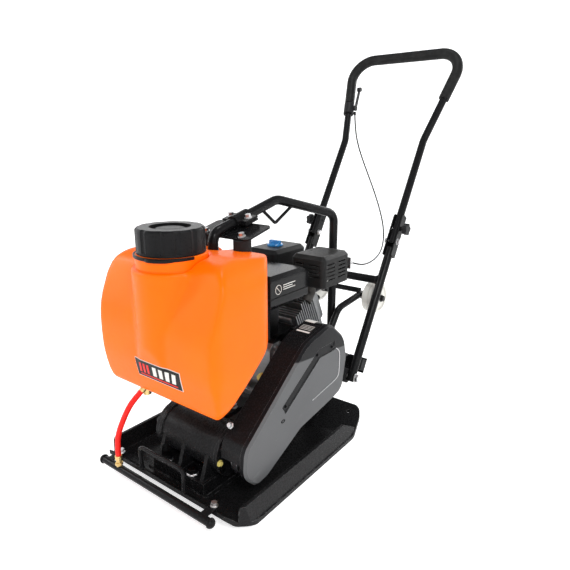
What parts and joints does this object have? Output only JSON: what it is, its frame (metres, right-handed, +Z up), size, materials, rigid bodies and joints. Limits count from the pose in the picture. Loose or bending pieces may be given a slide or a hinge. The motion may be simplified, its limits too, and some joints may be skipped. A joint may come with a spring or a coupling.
{
  "type": "plate compactor",
  "caption": "Walk-behind petrol plate compactor: vibrating base plate, belt-driven exciter, engine, water tank with sprinkler bar, roll bar, folding handle and transport wheels.",
  "frame": {"origin": "centre of the flat sole, on the ground", "axes": "+Z up, -Y the front and travel direction, +Y towards the operator, +X the belt-guard side"},
  "size_m": [0.486, 1.291, 1.143],
  "materials": {
    "gloss_black_paint": "gloss black paint on steel tube and sheet",
    "plate_paint": "satin black paint on thick steel plate, worn on its edges",
    "exciter_casting": "black painted iron casting with a fine orange-peel skin",
    "guard_grey": "satin mid-grey pressed steel cover with black fields",
    "guard_black": "satin black pressed steel",
    "zinc_fasteners": "bright zinc plate",
    "dark_fasteners": "dark oiled steel heads on bright washers",
    "machined_steel": "turned steel",
    "belt_rubber": "matt black rubber",
    "mount_rubber": "matt black rubber",
    "engine_aluminium": "die-cast aluminium, slightly rough",
    "engine_black_plastic": "black injection moulding",
    "fuel_tank_paint": "deep gloss black",
    "air_knob_blue": "clear blue moulded plastic",
    "exhaust_paint": "heat-proof semi-gloss black",
    "exhaust_iron": "raw iron, a little browned",
    "plug_rubber": "matt black rubber",
    "plug_yellow": "yellow moulded plastic",
    "tank_orange": "orange rotomoulded plastic, soft sheen",
    "cap_black": "black moulded plastic",
    "brass_fittings": "plain brass",
    "hose_red": "smooth red rubber",
    "grip_foam": "matt black moulded grip",
    "control_plastic": "black moulded plastic",
    "cable_black": "smooth black cable sheath",
    "wheel_nylon": "off-white nylon"
  },
  "bodies": {
    "base": {"air_cleaner_case": "engine_black_plastic", "air_cleaner_cover": "engine_black_plastic", "base_plate": "plate_paint", "belt_guard_back": "guard_black", "belt_guard_bolts": "zinc_fasteners", "belt_guard_face": "guard_grey", "cable_bracket": "zinc_fasteners", "carburettor": "engine_aluminium", "drain_plugs": "plug_yellow", "engine_crankcase": "engine_aluminium", "engine_cylinder": "engine_aluminium", "engine_deck": "gloss_black_paint", "exciter_bearings": "machined_steel", "exciter_bolts": "dark_fasteners", "exciter_covers": "exciter_casting", "exciter_housing": "exciter_casting", "exhaust_elbow": "exhaust_iron", "frame_bolts": "zinc_fasteners", "front_bail": "gloss_black_paint", "fuel_tank": "fuel_tank_paint", "handle_rubbers": "mount_rubber", "hose_fitting": "brass_fittings", "muffler": "exhaust_iron", "muffler_guard": "exhaust_paint", "recoil_cover": "engine_black_plastic", "rocker_cover": "engine_aluminium", "roll_cage": "gloss_black_paint", "rubber_mounts": "mount_rubber", "spark_plug_cap": "plug_rubber", "sprinkler_bar": "gloss_black_paint", "tank_bracket": "gloss_black_paint", "tank_buffers": "mount_rubber", "tank_clamp": "gloss_black_paint", "tank_cradle": "gloss_black_paint", "tank_valve": "brass_fittings", "throttle_cable": "cable_black", "v_belt": "belt_rubber", "water_hose": "hose_red", "water_tank": "tank_orange"},
    "crank": {"crankshaft": "machined_steel", "clutch_pulley": "machined_steel"},
    "eccentric": {"eccentric_shaft": "machined_steel", "exciter_pulley": "machined_steel"},
    "starter": {"starter_grip": "control_plastic"},
    "fuel_lid": {"fuel_cap": "cap_black"},
    "air_knob": {"air_cleaner_knob": "air_knob_blue"},
    "tank_lid": {"tank_cap": "cap_black"},
    "valve_handle": {"valve_lever": "cap_black"},
    "handle_lower": {"lower_handle": "gloss_black_paint", "handle_bolts": "zinc_fasteners"},
    "handle_upper": {"upper_handle": "gloss_black_paint", "handle_grip": "grip_foam", "throttle_clamp": "control_plastic"},
    "throttle": {"throttle_lever": "control_plastic"},
    "governor_arm": {"throttle_arm": "zinc_fasteners"},
    "knob_left": {"star_knob_left": "control_plastic"},
    "knob_right": {"star_knob_right": "control_plastic"},
    "wheel_carrier": {"wheel_frame": "gloss_black_paint"},
    "left_wheel": {"wheel_left": "wheel_nylon"},
    "right_wheel": {"wheel_right": "wheel_nylon"}
  },
  "joints": [
    {"name": "crank_spin", "type": "hinge", "parent": "base", "child": "crank", "pos_m": [0, 0.095, 0.245], "axis": [1, 0, 0], "continuous": true},
    {"name": "exciter_spin", "type": "hinge", "parent": "base", "child": "eccentric", "pos_m": [0, -0.175, 0.11], "axis": [1, 0, 0], "continuous": true},
    {"name": "starter_pull", "type": "slide", "parent": "base", "child": "starter", "axis": [0, 1, 0], "range_m": [0, 0.1]},
    {"name": "fuel_cap_turn", "type": "hinge", "parent": "base", "child": "fuel_lid", "pos_m": [-0.055, 0.055, 0.51], "axis": [0, 0, 1], "range_deg": [0, 90]},
    {"name": "air_knob_turn", "type": "hinge", "parent": "base", "child": "air_knob", "pos_m": [-0.08, 0.243, 0.522], "axis": [0, 0, 1], "range_deg": [0, 90]},
    {"name": "tank_cap_lift", "type": "slide", "parent": "base", "child": "tank_lid", "axis": [0, 0, 1], "range_m": [0, 0.045]},
    {"name": "valve_turn", "type": "hinge", "parent": "base", "child": "valve_handle", "pos_m": [-0.085, -0.25, 0.24], "axis": [0, 1, 0], "range_deg": [0, 90]},
    {"name": "handle_pivot", "type": "hinge", "parent": "base", "child": "handle_lower", "pos_m": [0, 0.33, 0.116], "axis": [1, 0, 0], "range_deg": [0, 18], "deforming": ["throttle_cable"]},
    {"name": "handle_fold", "type": "hinge", "parent": "handle_lower", "child": "handle_upper", "pos_m": [0, 0.57, 0.511], "axis": [1, 0, 0], "range_deg": [0, 90], "deforming": ["throttle_cable"]},
    {"name": "throttle_turn", "type": "hinge", "parent": "handle_upper", "child": "throttle", "pos_m": [-0.158, 0.839, 0.949], "axis": [-1, 0, 0], "range_deg": [0, 60]},
    {"name": "throttle_arm_turn", "type": "hinge", "parent": "base", "child": "governor_arm", "pos_m": [0.112, 0.32, 0.486], "axis": [0, 1, 0], "range_deg": [0, 40]},
    {"name": "star_knob_left_turn", "type": "hinge", "parent": "handle_lower", "child": "knob_left", "pos_m": [-0.17, 0.59389, 0.55031], "axis": [1, 0, 0], "continuous": true},
    {"name": "star_knob_right_turn", "type": "hinge", "parent": "handle_lower", "child": "knob_right", "pos_m": [0.17, 0.59389, 0.55031], "axis": [1, 0, 0], "continuous": true},
    {"name": "wheel_swing", "type": "hinge", "parent": "base", "child": "wheel_carrier", "pos_m": [0, 0.285, 0.215], "axis": [-1, 0, 0], "range_deg": [0, 60]},
    {"name": "wheel_left_spin", "type": "hinge", "parent": "wheel_carrier", "child": "left_wheel", "pos_m": [-0.115, 0.535, 0.321], "axis": [1, 0, 0], "continuous": true},
    {"name": "wheel_right_spin", "type": "hinge", "parent": "wheel_carrier", "child": "right_wheel", "pos_m": [0.115, 0.535, 0.321], "axis": [1, 0, 0], "continuous": true}
  ],
  "couplings": [
    {"joint": "exciter_spin", "follows": "crank_spin", "ratio": 1.5},
    {"joint": "throttle_arm_turn", "follows": "throttle_turn", "ratio": 0.66667}
  ]
}
